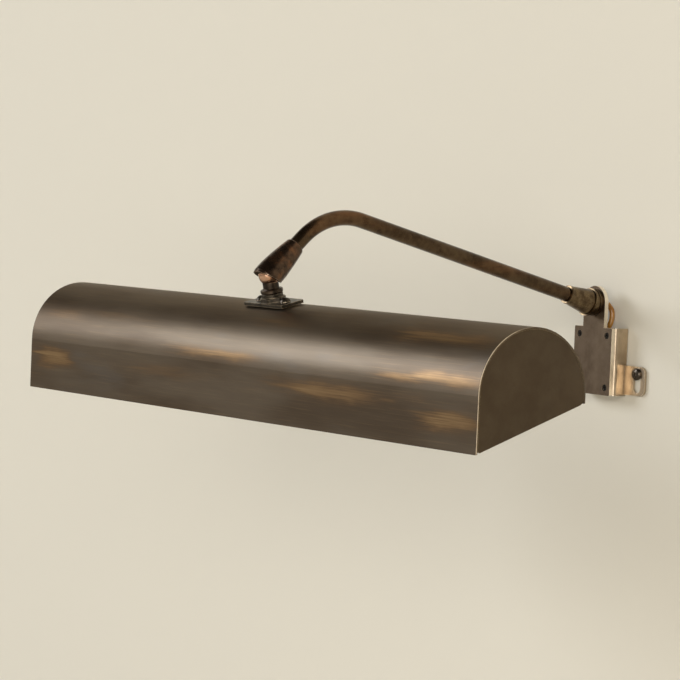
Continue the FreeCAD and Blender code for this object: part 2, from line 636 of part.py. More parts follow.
def make_lamp_holder(name, side):
    """Small-screw lamp holder with a hollow threaded tail."""
    base, out = lamp_axis(side)
    profile = [(-7.0, 3.0), (-7.0, 4.95), (TOUCH, 4.95), (TOUCH, 10.8), (1.2, 11.6), (7.5, 11.6), (8.5, 13.0),
               (29.0, 13.0), (30.0, 12.4), (30.0, 8.2), (11.5, 8.2), (11.5, 3.0)]
    save(name, placed(turned(profile, base, out), LEANING))


def make_holder_nuts():
    """Nuts on the lamp holders' tails."""
    nuts = []
    for side in (-1, 1):
        base, out = lamp_axis(side)
        nut = hexagon(13.0, -STRAP_T - 3.0, -STRAP_T - TOUCH, base, out)
        nuts.append(nut.cut(rod(5.0, base - out * 10, base + out * 5)))
    save("holder_nuts", placed(group(nuts), LEANING))


def make_lamp_cap(name, side):
    """Screw cap of a tubular lamp with its contact."""
    base, out = lamp_axis(side)
    profile = [(12.0, 0), (12.0, 1.6), (12.9, 2.2), (13.4, 4.6), (14.6, 6.3), (15.6, 6.9)]
    for turn in range(4):
        start = 15.6 + 2.4 * turn
        profile += [(start + 0.8, 6.9), (start + 1.6, 6.3), (start + 2.4, 6.9)]
    profile += [(27.4, 6.9), (27.4, 0)]
    save(name, placed(turned(profile, base, out), LEANING))


def glass_profile(radius, neck, start, end):
    """Half outline of a tubular bulb from its neck to its round end, without the axis."""
    points = [(start, neck), (start + 3.0, neck), (start + 8.0, radius - 0.6), (start + 10.0, radius)]
    steps = 10
    for k in range(steps):
        turn = math.radians(90.0 * k / steps)
        points.append((end - radius + radius * math.sin(turn), radius * math.cos(turn)))
    return points


def make_lamp_glass(name, side):
    """Hollow tubular bulb."""
    base, out = lamp_axis(side)
    outer = glass_profile(12.5, 6.8, 27.45, 97.0) + [(97.0, 0)]
    inner = [(96.2, 0)] + glass_profile(11.7, 6.0, 27.45, 96.2)[::-1]
    save(name, placed(turned(outer + inner, base, out), LEANING))


def make_lamp_filament(name, side):
    """Glass stem with two support wires and the filament between them."""
    base, out = lamp_axis(side)
    stem = turned([(27.5, 0), (27.5, 5.6), (28.5, 5.6), (31.0, 2.4), (42.0, 1.6), (42.0, 0)], base, out)
    for offset in (-1.0, 1.0):
        shift = Vector(0, offset, 0)
        wire = route([base + out * 41.0 + shift * 0.9, base + out * 50.0 + shift * 4.0,
                      base + out * 80.0 + shift * 4.5])
        stem = stem.fuse(swept(wire, 0.4))
    across = rod(0.5, base + out * 79.6 - Vector(0, 4.6, 0), base + out * 79.6 + Vector(0, 4.6, 0))
    save(name, placed(stem.fuse(across).removeSplitter(), LEANING))


def make_lamp_leads():
    """Heat-resistant sleeved leads from the stem to the back of each lamp holder."""
    leads = []
    for side in (-1, 1):
        points = [Vector(side * 1.7, 0, SPIGOT_END - 1.0), Vector(side * 2.6, 0, SPIGOT_END - 6.5),
                  Vector(side * 15, -0.5, 19.0), Vector(side * 32, -1.5, 16.0), Vector(side * 46, -2.5, 8.5),
                  Vector(side * 60, LAMP_F, LAMP_H), Vector(side * 74, LAMP_F, LAMP_H)]
        leads.append(swept(route(points), 1.5))
    save("lamp_leads", placed(group(leads), LEANING))


# ---------------------------------------------------------------- build
def main():
    """Write every piece to its own file."""
    os.makedirs("parts", exist_ok=True)
    make_wall_box()
    make_arm_plate()
    make_plate_screws()
    make_wall_screws()
    make_terminal_block()
    make_terminal_screws()
    make_block_screw()
    make_earth_screw()
    make_earth_tag()
    make_collar()
    make_ferrule()
    make_stud()
    make_back_nut()
    make_stud_bush()
    make_arm_tube()
    make_arm_lead()
    make_lead_cores()
    make_barrel_cup()
    make_barrel_cap()
    make_ball_seat()
    make_disc_springs()
    make_ball_stem()
    make_stem_lead()
    make_stem_nut()
    make_stem_washer()
    make_base_column()
    make_top_plate()
    make_dome_screws()
    make_dome_nuts()
    make_shade_shell()
    make_end_caps()
    make_reflector()
    make_lamp_strap()
    make_holder_nuts()
    for word, side in (("left", -1), ("right", 1)):
        make_lamp_holder("lamp_holder_" + word, side)
        make_lamp_cap("lamp_cap_" + word, side)
        make_lamp_glass("lamp_glass_" + word, side)
        make_lamp_filament("lamp_filament_" + word, side)
    make_lamp_leads()


main()
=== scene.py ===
"""Looks of the picture light: patinated brass trough, ball knuckle, bent arm and wall box."""
import json
import logging
import math
from dataclasses import dataclass, field
from enum import Enum

import bmesh
import bpy
from mathutils import Matrix, Vector


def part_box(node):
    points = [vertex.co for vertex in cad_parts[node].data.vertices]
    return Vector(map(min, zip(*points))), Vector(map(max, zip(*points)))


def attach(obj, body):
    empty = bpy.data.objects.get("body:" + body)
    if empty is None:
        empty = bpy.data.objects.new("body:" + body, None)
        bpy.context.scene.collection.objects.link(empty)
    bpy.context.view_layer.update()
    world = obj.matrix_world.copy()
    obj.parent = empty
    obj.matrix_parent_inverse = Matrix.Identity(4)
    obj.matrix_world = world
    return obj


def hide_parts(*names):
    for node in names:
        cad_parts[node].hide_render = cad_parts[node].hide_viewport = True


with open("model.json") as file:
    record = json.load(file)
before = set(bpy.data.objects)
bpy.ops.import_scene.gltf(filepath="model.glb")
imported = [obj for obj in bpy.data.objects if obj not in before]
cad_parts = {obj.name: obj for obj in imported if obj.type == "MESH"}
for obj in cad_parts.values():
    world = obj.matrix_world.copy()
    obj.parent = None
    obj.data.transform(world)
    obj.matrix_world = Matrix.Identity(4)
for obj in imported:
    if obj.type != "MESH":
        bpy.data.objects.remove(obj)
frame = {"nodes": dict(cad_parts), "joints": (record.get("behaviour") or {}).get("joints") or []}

LOG = logging.getLogger("picture_light")
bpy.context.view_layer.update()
JOINTS = {joint["name"]: joint["pos_m"] for joint in frame["joints"]}
MM = 0.001
MERGE = 1e-7
SHARP = math.radians(35)
MASK_SAMPLES = 6
WORN_BEND = (0.015, 0.10)
WORN_FRAY = (0.25, 0.55)
RECESS_SHADE_RANGE = (0.15, 0.75)
SOFT_RIM = 0.15 * MM
SKIN_RELIEF = 0.00002

Triple = tuple[float, float, float]
Colour = Triple
Socket = bpy.types.NodeSocket
Value = Socket | float


class Body(Enum):
    """The rigid bodies that pieces ride on."""

    BRACKET = "bracket_arm"
    STEM = "knuckle_stem"
    SHADE = "shade"


class Grain(Enum):
    """Stretch of a pattern along each axis, for brushing that runs one way."""

    ALONG_X = (0.07, 1.0, 1.0)
    ALONG_Y = (1.0, 0.12, 1.0)
    UPRIGHT = (1.0, 1.0, 0.08)
    NONE = (1.0, 1.0, 1.0)


# ---------------------------------------------------------------- node trees
class Recipe:
    """A node tree under construction for one material."""

    def __init__(self, name: str) -> None:
        """Start an empty material.

        Args:
            name: the material's name.
        """
        self.material = bpy.data.materials.new(name)
        self.material.use_nodes = True
        self.tree = self.material.node_tree
        self.tree.nodes.clear()
        self.output = self.tree.nodes.new("ShaderNodeOutputMaterial")
        self.place = self.node("ShaderNodeTexCoord").outputs["Object"]

    def node(self, kind: str, **settings: object) -> bpy.types.Node:
        """Add a node and set its properties.

        Args:
            kind: Blender's name of the node.
            **settings: its properties.

        Returns:
            The node.
        """
        made = self.tree.nodes.new(kind)
        for key, value in settings.items():
            setattr(made, key, value)
        return made

    def feed(self, socket: Socket, value: object) -> None:
        """Link a socket, or set it when value is a constant.

        Args:
            socket: the input that takes the value.
            value: another node's output, a number or a colour.
        """
        if isinstance(value, bpy.types.NodeSocket):
            self.tree.links.new(value, socket)
        elif isinstance(value, tuple) and len(value) == 3 and socket.type == "RGBA":
            socket.default_value = (*value, 1.0)
        else:
            socket.default_value = value

    def math(self, operation: str, first: Value, second: Value = 0.0,
             clamp: bool = False) -> Socket:
        """One arithmetic step.

        Args:
            operation: Blender's name of the operation.
            first: left value.
            second: right value.
            clamp: keep the result between 0 and 1.

        Returns:
            The result's socket.
        """
        made = self.node("ShaderNodeMath", operation=operation, use_clamp=clamp)
        self.feed(made.inputs[0], first)
        self.feed(made.inputs[1], second)
        return made.outputs[0]

    def plus(self, first: Value, second: Value, clamp: bool = False) -> Socket:
        """Sum of two values, kept between 0 and 1 when clamp is set."""
        return self.math("ADD", first, second, clamp)

    def minus(self, first: Value, second: Value) -> Socket:
        """Difference of two values."""
        return self.math("SUBTRACT", first, second)

    def times(self, first: Value, second: Value, clamp: bool = False) -> Socket:
        """Product of two values, kept between 0 and 1 when clamp is set."""
        return self.math("MULTIPLY", first, second, clamp)

    def vector(self, x: Value, y: Value, z: Value) -> Socket:
        """Join three values into a vector.

        Args:
            x: first part.
            y: second part.
            z: third part.

        Returns:
            The vector's socket.
        """
        made = self.node("ShaderNodeCombineXYZ")
        for socket, value in zip(made.inputs, (x, y, z)):
            self.feed(socket, value)
        return made.outputs[0]

    def split(self, vector: Socket) -> tuple[Socket, Socket, Socket]:
        """Take a vector apart.

        Args:
            vector: the vector.

        Returns:
            Its three parts.
        """
        made = self.node("ShaderNodeSeparateXYZ")
        self.feed(made.inputs[0], vector)
        return made.outputs[0], made.outputs[1], made.outputs[2]

    def stretched(self, vector: Socket, scale: Triple,
                  shift: Triple = (0.0, 0.0, 0.0)) -> Socket:
        """Scale and shift a coordinate.

        Args:
            vector: the coordinate.
            scale: factor along each axis.
            shift: what is added along each axis.

        Returns:
            The new coordinate.
        """
        made = self.node("ShaderNodeMapping")
        self.feed(made.inputs["Vector"], vector)
        made.inputs["Scale"].default_value = scale
        made.inputs["Location"].default_value = shift
        return made.outputs[0]

    def noise(self, vector: Socket, size: float, detail: float = 4.0, rough: float = 0.55,
              warp: float = 0.0) -> Socket:
        """Fractal noise whose largest spots are about size metres.

        Args:
            vector: the coordinate it follows.
            size: size of a spot, in metres.
            detail: octaves.
            rough: weight of the small octaves.
            warp: distortion.

        Returns:
            The noise, about 0 to 1.
        """
        made = self.node("ShaderNodeTexNoise")
        self.feed(made.inputs["Vector"], vector)
        made.inputs["Scale"].default_value = 1.0 / size
        made.inputs["Detail"].default_value = detail
        made.inputs["Roughness"].default_value = rough
        made.inputs["Distortion"].default_value = warp
        return made.outputs["Fac"]

    def step(self, value: Value, low: float, high: float) -> Socket:
        """Smooth step.

        Args:
            value: what is measured.
            low: where the step is 0; above high for a step that falls.
            high: where the step is 1.

        Returns:
            The step, 0 to 1.
        """
        made = self.node("ShaderNodeMapRange", interpolation_type="SMOOTHSTEP")
        self.feed(made.inputs["Value"], value)
        made.inputs["From Min"].default_value = low
        made.inputs["From Max"].default_value = high
        return made.outputs["Result"]

    def spread(self, value: Value, low: float, high: float) -> Socket:
        """Map 0 to 1 onto low to high in a straight line.

        Args:
            value: what is mapped.
            low: result at 0.
            high: result at 1.

        Returns:
            The mapped value.
        """
        return self.plus(self.times(value, high - low), low)

    def mix(self, share: Value, first: object, second: object) -> Socket:
        """Blend two colours.

        Args:
            share: how much of the second shows.
            first: colour at 0.
            second: colour at 1.

        Returns:
            The blended colour.
        """
        made = self.node("ShaderNodeMix", data_type="RGBA")
        self.feed(made.inputs["Factor"], share)
        self.feed(made.inputs[6], first)
        self.feed(made.inputs[7], second)
        return made.outputs[2]

    def edges(self, radius: float, breakup: Socket) -> Socket:
        """Worn edges: 1 on sharp corners, 0 on flat and smoothly curved faces.

        Args:
            radius: reach of the wear, in metres.
            breakup: noise that frays the wear.

        Returns:
            The wear mask.
        """
        rounded = self.node("ShaderNodeBevel", samples=MASK_SAMPLES)
        rounded.inputs["Radius"].default_value = radius
        normal = self.node("ShaderNodeNewGeometry").outputs["Normal"]
        dot = self.node("ShaderNodeVectorMath", operation="DOT_PRODUCT")
        self.feed(dot.inputs[0], rounded.outputs[0])
        self.feed(dot.inputs[1], normal)
        sharp = self.minus(1.0, dot.outputs["Value"])
        return self.times(self.step(sharp, *WORN_BEND), self.step(breakup, *WORN_FRAY))

    def recess_shade_mask(self, reach: float) -> Socket:
        """Painted shade in sheltered corners: 1 deep in a recess, 0 in the open.

        Args:
            reach: how far a sheltering face may stand, in metres.

        Returns:
            The mask.
        """
        made = self.node("ShaderNodeAmbientOcclusion", samples=MASK_SAMPLES, only_local=True)
        made.inputs["Distance"].default_value = reach
        return self.step(self.minus(1.0, made.outputs["AO"]), *RECESS_SHADE_RANGE)

    def within(self, centre: Vector, radius: float) -> Socket:
        """Inside of a ball.

        Args:
            centre: the ball's centre.
            radius: its radius, in metres.

        Returns:
            1 within the ball, 0 outside.
        """
        made = self.node("ShaderNodeVectorMath", operation="DISTANCE")
        self.feed(made.inputs[0], self.place)
        made.inputs[1].default_value = centre
        return self.step(made.outputs["Value"], radius + SOFT_RIM, radius)

    def bump(self, height: Socket, depth: float, strength: float) -> Socket:
        """Relief from a height field.

        Args:
            height: the field.
            depth: metres of relief for a step of 1.
            strength: share of the effect.

        Returns:
            The normal.
        """
        made = self.node("ShaderNodeBump")
        made.inputs["Strength"].default_value = strength
        made.inputs["Distance"].default_value = depth
        self.feed(made.inputs["Height"], height)
        return made.outputs[0]

    def surface(self, **sockets: object) -> bpy.types.Material:
        """Close the tree with one Principled shader.

        Args:
            **sockets: its inputs, with underscores for spaces.

        Returns:
            The finished material.
        """
        shader = self.node("ShaderNodeBsdfPrincipled")
        for key, value in sockets.items():
            self.feed(shader.inputs[key.replace("_", " ")], value)
        self.tree.links.new(shader.outputs[0], self.output.inputs["Surface"])
        return self.material


# ---------------------------------------------------------------- finishes
@dataclass(frozen=True)
class Patina:
    """Chemically darkened brass, rubbed back in cloudy patches and along its edges; its cut sides
    may be painted pale, as bare metal and a painted highlight.
    """

    dark: Colour
    mid: Colour
    rubbed: Colour
    bright: Colour
    patch: float = 0.030
    grain: Grain = Grain.NONE
    rub: tuple[float, float] = (0.52, 0.74)
    rough: tuple[float, float] = (0.34, 0.50)
    wear: float = 0.0005
    cut: Colour | None = None
    worn_below: float | None = None
    sway: float = 0.06

    def coat(self, name: str) -> bpy.types.Material:
        """Build the material.

        Args:
            name: the material's name.

        Returns:
            The material.
        """
        book = Recipe(name)
        along = book.stretched(book.place, self.grain.value)
        cloud = book.noise(along, self.patch, 5.0, 0.6, 0.4)
        mottle = book.noise(book.place, self.patch * 0.28, 4.0, 0.65)
        fine = book.noise(along, 0.0011, 3.0, 0.6)
        rub = book.times(book.step(cloud, *self.rub), book.spread(mottle, 0.35, 1.1), True)
        tone = book.mix(book.step(mottle, 0.30, 0.72), self.dark, self.mid)
        tone = book.mix(rub, tone, self.rubbed)
        worn = book.edges(self.wear, mottle)
        if self.worn_below is not None:
            height = book.split(book.place)[2]
            low_part = book.step(height, self.worn_below + MM, self.worn_below - MM)
            worn = book.times(worn, low_part)
        tone = book.mix(worn, tone, self.bright)
        # cut sides painted pale: bare metal, also a painted highlight
        if self.cut is not None:
            facing = book.split(book.node("ShaderNodeNewGeometry").outputs["True Normal"])[1]
            side = book.step(book.math("ABSOLUTE", facing), 0.8, 0.3)
            bared_highlight = book.times(side, book.spread(mottle, 0.55, 1.2), True)
            tone = book.mix(bared_highlight, tone, self.cut)
        surface = book.plus(book.times(mottle, 0.6), book.times(fine, 0.4))
        dull = book.spread(surface, self.rough[1] + self.sway, self.rough[0] - self.sway)
        relief = book.bump(fine, SKIN_RELIEF, 0.5)
        return book.surface(Base_Color=tone, Metallic=1.0, Roughness=dull, Normal=relief)


@dataclass(frozen=True)
class BallPatina:
    """Blackened brass with a copper-bright ball, where the knuckle's cup keeps it polished; the
    copper fades out low on the ball towards the neck as painted shade.
    """

    centre: Vector
    radius: float
    dark: Colour = (0.030, 0.024, 0.019)
    mid: Colour = (0.075, 0.055, 0.040)
    worn: Colour = (0.26, 0.17, 0.10)
    copper: Colour = (0.80, 0.50, 0.34)
    smear: Colour = (0.46, 0.26, 0.17)
    neck: float = 5.6 * MM
    clear: float = 3.2 * MM
    wear: float = 0.4 * MM
    shine: float = 0.14

    def coat(self, name: str) -> bpy.types.Material:
        """Build the material.

        Args:
            name: the material's name.

        Returns:
            The material.
        """
        book = Recipe(name)
        cloud = book.noise(book.place, 0.0040, 4.0, 0.6, 0.4)
        fine = book.noise(book.place, 0.0007, 3.0, 0.6)
        height = book.split(book.place)[2]
        # polish, and painted shade: the bright copper fades out low on the ball, towards the neck
        polished = book.step(height, self.centre.z - self.neck, self.centre.z - self.clear)
        ball = book.times(book.within(self.centre, self.radius), polished)
        black = book.mix(book.step(cloud, 0.32, 0.70), self.dark, self.mid)
        black = book.mix(book.times(book.edges(self.wear, cloud), 0.7), black, self.worn)
        bare = book.mix(book.step(cloud, 0.45, 0.75), self.copper, self.smear)
        dull = book.minus(book.spread(cloud, 0.30, 0.44), book.times(ball, self.shine))
        return book.surface(Base_Color=book.mix(ball, black, bare), Metallic=1.0, Roughness=dull,
                            Normal=book.bump(fine, SKIN_RELIEF, 0.5))


@dataclass(frozen=True)
class Rub:
    """One place where the trough's patina is rubbed back: centre and half extents in millimetres.

    around runs up the front skirt and over the roll, from 0 where the roll begins.
    """

    x: float
    around: float
    half_x: float
    half_around: float
    force: float


@dataclass(frozen=True)
class TroughPatina:
    """Brown patina on rolled brass, brushed lengthwise, rubbed in patches, bare at the cut edge."""

    centre: tuple[float, float]
    radius: float
    rubs: tuple[Rub, ...]
    dark: Colour = (0.087, 0.062, 0.040)
    mid: Colour = (0.132, 0.102, 0.071)
    cool: Colour = (0.128, 0.112, 0.094)
    warm: Colour = (0.172, 0.100, 0.048)
    gold: Colour = (0.335, 0.222, 0.110)
    bare: Colour = (0.88, 0.76, 0.60)
    grazing: Colour = (0.50, 0.44, 0.38)
    line: float = 0.42 * MM
    line_fade: float = 0.1 * MM
    square: float = 3.0
    fray_x: float = 28 * MM
    fray_around: float = 4.5 * MM
    bright_front: tuple[float, float] = (-6 * MM, 34 * MM)

    def wrapped(self, book: Recipe) -> tuple[Socket, Socket]:
        """Position on the rolled sheet.

        Args:
            book: the recipe that it belongs to.

        Returns:
            Place along the trough, and distance around its section from the foot of the roll.
        """
        x, y, z = book.split(book.place)
        forward = book.minus(self.centre[0], y)
        rise = book.minus(z, self.centre[1])
        turn = book.math("ARCTAN2", book.math("MAXIMUM", rise, 0.0), forward)
        skirt = book.math("MINIMUM", rise, 0.0)
        return x, book.plus(book.times(turn, self.radius), skirt)

    def rubbed(self, book: Recipe, x: Socket, around: Socket) -> Socket:
        """Sum of the soft spots where cloth and hand have gone through the patina.

        Args:
            book: the recipe that it belongs to.
            x: place along the trough.
            around: distance around its section.

        Returns:
            How far the patina is gone, 0 upwards.
        """
        total: Value = 0.0
        for spot in self.rubs:
            across = book.math("DIVIDE", book.minus(x, spot.x * MM), spot.half_x * MM)
            lift = book.minus(around, spot.around * MM)
            up = book.math("DIVIDE", lift, spot.half_around * MM)
            far = book.plus(book.math("POWER", book.math("ABSOLUTE", across), self.square),
                            book.times(up, up))
            here = book.math("EXPONENT", book.times(far, -1.0))
            total = book.plus(total, book.times(here, spot.force))
        return total

    def cut_edge(self, book: Recipe, fray: Socket) -> Socket:
        """The sheet's cut ends, polished along the front and dull behind.

        Args:
            book: the recipe that it belongs to.
            fray: noise that breaks the line.

        Returns:
            The bare edge's mask.
        """
        facing = book.split(book.node("ShaderNodeNewGeometry").outputs["True Normal"])[0]
        end = book.step(book.math("ABSOLUTE", facing), 0.7, 0.8)
        forward = book.minus(self.centre[0], book.split(book.place)[1])
        rise = book.minus(book.split(book.place)[2], self.centre[1])
        rise = book.math("MAXIMUM", rise, 0.0)
        out = book.math("SQRT", book.plus(book.times(forward, forward), book.times(rise, rise)))
        inner = self.radius - self.line
        rim = book.step(out, inner - self.line_fade, inner)
        front = book.step(forward, *self.bright_front)
        worn = book.times(front, book.spread(book.step(fray, 0.3, 0.6), 0.55, 1.0))
        return book.times(end, book.times(rim, worn))

    def coat(self, name: str) -> bpy.types.Material:
        """Build the material.

        Args:
            name: the material's name.

        Returns:
            The material.
        """
        book = Recipe(name)
        x, around = self.wrapped(book)
        sheet = book.vector(x, around, 0.0)
        cloud = book.noise(book.stretched(sheet, (0.30, 1.0, 1.0)), 0.034, 4.0, 0.55, 0.3)
        drifting = book.stretched(sheet, (0.22, 1.0, 1.0), (3.1, 1.7, 0.4))
        drift = book.noise(drifting, 0.026, 3.0, 0.5)
        streak = book.noise(book.stretched(sheet, (0.05, 1.0, 1.0)), 0.0034, 4.0, 0.6)
        brush = book.noise(book.stretched(sheet, (0.016, 1.0, 1.0)), 0.0007, 3.0, 0.55)
        swaying = book.stretched(sheet, (0.35, 1.0, 1.0), (0.7, 5.2, 1.1))
        sway = book.noise(swaying, 0.012, 3.0, 0.6)
        frayed_x = book.plus(x, book.spread(streak, -self.fray_x, self.fray_x))
        frayed_around = book.plus(around, book.spread(sway, -self.fray_around, self.fray_around))
        spots = self.rubbed(book, frayed_x, frayed_around)
        hairs = book.plus(book.times(streak, 0.6), book.times(brush, 0.4))
        spots = book.times(spots, book.spread(book.step(hairs, 0.36, 0.62), 0.45, 1.0))
        loose = book.times(book.step(cloud, 0.60, 0.80), book.step(streak, 0.40, 0.66))
        rub = book.plus(spots, book.times(loose, 0.35), True)
        tone = book.mix(book.step(drift, 0.34, 0.66), self.dark, self.mid)
        hollow = book.step(book.minus(1.0, cloud), 0.55, 0.72)
        tone = book.mix(book.times(hollow, 0.6), tone, self.cool)
        tone = book.mix(book.step(rub, 0.0, 0.55), tone, self.warm)
        tone = book.mix(book.step(rub, 0.15, 1.0), tone, self.gold)
        tone = book.mix(book.times(book.step(brush, 0.50, 0.75), 0.16), tone, self.gold)
        tone = book.mix(self.cut_edge(book, streak), tone, self.bare)
        dull = book.spread(rub, 0.43, 0.34)
        dull = book.plus(dull, book.spread(streak, -0.07, 0.07))
        relief = book.bump(brush, 0.00003, 0.45)
        return book.surface(Base_Color=tone, Metallic=1.0, Roughness=dull, Normal=relief,
                            Specular_Tint=(*self.grazing, 1.0), Coat_Weight=0.28,
                            Coat_Roughness=0.34)


@dataclass(frozen=True)
class Brushed:
    """Plated or bare metal with one-way brushing, optionally darkened in its recesses as painted
    shade.
    """

    base: Colour
    shade: Colour
    grain: Grain = Grain.NONE
    rough: tuple[float, float] = (0.22, 0.38)
    wear: float = 0.0004
    bright: Colour = (0.90, 0.84, 0.72)
    line: float = 0.0006
    recess_shade: Colour | None = None
    recess: float = 5 * MM

    def coat(self, name: str) -> bpy.types.Material:
        """Build the material.

        Args:
            name: the material's name.

        Returns:
            The material.
        """
        book = Recipe(name)
        line = book.noise(book.stretched(book.place, self.grain.value), self.line, 4.0, 0.6)
        cloud = book.noise(book.place, 0.012, 4.0, 0.6)
        tone = book.mix(book.step(cloud, 0.35, 0.70), self.base, self.shade)
        tone = book.mix(book.times(line, 0.25), tone, self.shade)
        tone = book.mix(book.edges(self.wear, cloud), tone, self.bright)
        # painted shade: recesses darkened from ambient occlusion
        if self.recess_shade is not None:
            tone = book.mix(book.recess_shade_mask(self.recess), tone, self.recess_shade)
        dull = book.spread(book.plus(book.times(line, 0.6), book.times(cloud, 0.4)), *self.rough)
        return book.surface(Base_Color=tone, Metallic=1.0, Roughness=dull,
                            Normal=book.bump(line, SKIN_RELIEF, 0.4))


@dataclass(frozen=True)
class Moulded:
    """Moulded plastic or sheath with a faint skin texture."""

    base: Colour
    shade: Colour
    rough: float = 0.45
    skin: float = 0.0008
    clear: float = 0.0
    coat_weight: float = 0.0

    def coat(self, name: str) -> bpy.types.Material:
        """Build the material.

        Args:
            name: the material's name.

        Returns:
            The material.
        """
        book = Recipe(name)
        cloud = book.noise(book.place, 0.006, 4.0, 0.6)
        skin = book.noise(book.place, self.skin, 3.0, 0.6)
        tone = book.mix(book.step(cloud, 0.30, 0.72), self.base, self.shade)
        dull = book.spread(skin, self.rough - 0.08, self.rough + 0.08)
        return book.surface(Base_Color=tone, Roughness=dull, Transmission_Weight=self.clear,
                            Coat_Weight=self.coat_weight, Normal=book.bump(skin, 0.00003, 0.5))


@dataclass(frozen=True)
class Woven:
    """Braided glass sleeve."""

    base: Colour = (0.66, 0.61, 0.50)
    shade: Colour = (0.40, 0.36, 0.28)
    pitch: float = 0.0011

    def coat(self, name: str) -> bpy.types.Material:
        """Build the material.

        Args:
            name: the material's name.

        Returns:
            The material.
        """
        book = Recipe(name)
        x, y, z = book.split(book.place)
        turn = math.tau / self.pitch
        one = book.math("SINE", book.times(book.plus(x, book.plus(y, z)), turn))
        two = book.math("SINE", book.times(book.minus(x, book.plus(y, z)), turn))
        weave = book.spread(book.times(one, two), 0.5, 1.0)
        fuzz = book.noise(book.place, 0.0009, 3.0, 0.7)
        tone = book.mix(weave, self.shade, self.base)
        tone = book.mix(book.times(fuzz, 0.3), tone, self.shade)
        return book.surface(Base_Color=tone, Roughness=0.85, Sheen_Weight=0.2,
                            Normal=book.bump(weave, 0.00010, 0.8))


@dataclass(frozen=True)
class Glazed:
    """Glazed porcelain."""

    base: Colour = (0.82, 0.79, 0.70)
    shade: Colour = (0.68, 0.63, 0.53)

    def coat(self, name: str) -> bpy.types.Material:
        """Build the material.

        Args:
            name: the material's name.

        Returns:
            The material.
        """
        book = Recipe(name)
        cloud = book.noise(book.place, 0.009, 4.0, 0.55)
        speck = book.noise(book.place, 0.0011, 2.0, 0.5)
        tone = book.mix(book.step(cloud, 0.40, 0.80), self.base, self.shade)
        tone = book.mix(book.times(book.step(speck, 0.66, 0.74), 0.5), tone, self.shade)
        return book.surface(Base_Color=tone, Roughness=book.spread(cloud, 0.10, 0.22),
                            Coat_Weight=0.6, Normal=book.bump(cloud, 0.0003, 0.3))


@dataclass(frozen=True)
class ClearGlass:
    """Thin clear glass with the faintest haze."""

    tint: Colour = (0.96, 0.97, 0.95)
    hazy: Colour = (0.90, 0.91, 0.88)

    def coat(self, name: str) -> bpy.types.Material:
        """Build the material.

        Args:
            name: the material's name.

        Returns:
            The material.
        """
        book = Recipe(name)
        haze = book.noise(book.place, 0.010, 4.0, 0.6)
        tone = book.mix(haze, self.tint, self.hazy)
        dull = book.spread(book.step(haze, 0.4, 0.8), 0.02, 0.12)
        return book.surface(Base_Color=tone, Roughness=dull, Transmission_Weight=1.0, IOR=1.5)


@dataclass(frozen=True)
class Mount:
    """Pale glass stem that ends in dull tungsten supports."""

    stem_end: float
    wire: Colour = (0.30, 0.29, 0.28)
    soot: Colour = (0.16, 0.155, 0.15)
    glass: Colour = (0.62, 0.66, 0.62)
    frost: Colour = (0.46, 0.50, 0.46)
    seal: float = 0.5 * MM

    def coat(self, name: str) -> bpy.types.Material:
        """Build the material.

        Args:
            name: the material's name.

        Returns:
            The material.
        """
        book = Recipe(name)
        cloud = book.noise(book.place, 0.003, 4.0, 0.6)
        x = book.math("ABSOLUTE", book.split(book.place)[0])
        wire = book.step(x, self.stem_end - self.seal, self.stem_end + self.seal)
        tone = book.mix(wire, book.mix(cloud, self.glass, self.frost),
                        book.mix(cloud, self.wire, self.soot))
        dull = book.spread(wire, 0.10, 0.38)
        return book.surface(Base_Color=tone, Metallic=wire, Roughness=dull,
                            Normal=book.bump(cloud, 0.00004, 0.4))


# ---------------------------------------------------------------- making and dressing pieces
def piece(name: str, mesh: bmesh.types.BMesh, body: Body,
          material: bpy.types.Material) -> bpy.types.Object:
    """Turn a finished bmesh into a smooth-shaded piece that rides on a body.

    Args:
        name: the piece's name.
        mesh: its shape in the row frame; it is freed.
        body: what it rides on.
        material: its material.

    Returns:
        The new object.
    """
    bmesh.ops.remove_doubles(mesh, verts=mesh.verts, dist=MERGE)
    bmesh.ops.recalc_face_normals(mesh, faces=mesh.faces)
    data = bpy.data.meshes.new(name)
    mesh.to_mesh(data)
    mesh.free()
    data.set_sharp_from_angle(angle=SHARP)
    made = bpy.data.objects.new(name, data)
    bpy.context.scene.collection.objects.link(made)
    data.materials.append(material)
    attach(made, body.value)
    LOG.info("%s rides on %s", name, body.value)
    return made


def dress(material: bpy.types.Material, *nodes: str) -> None:
    """Give carried-over nodes a material.

    Args:
        material: what they wear.
        *nodes: their names.
    """
    for name in nodes:
        data = frame["nodes"][name].data
        data.materials.clear()
        data.materials.append(material)
        LOG.info("%s wears %s", name, material.name)


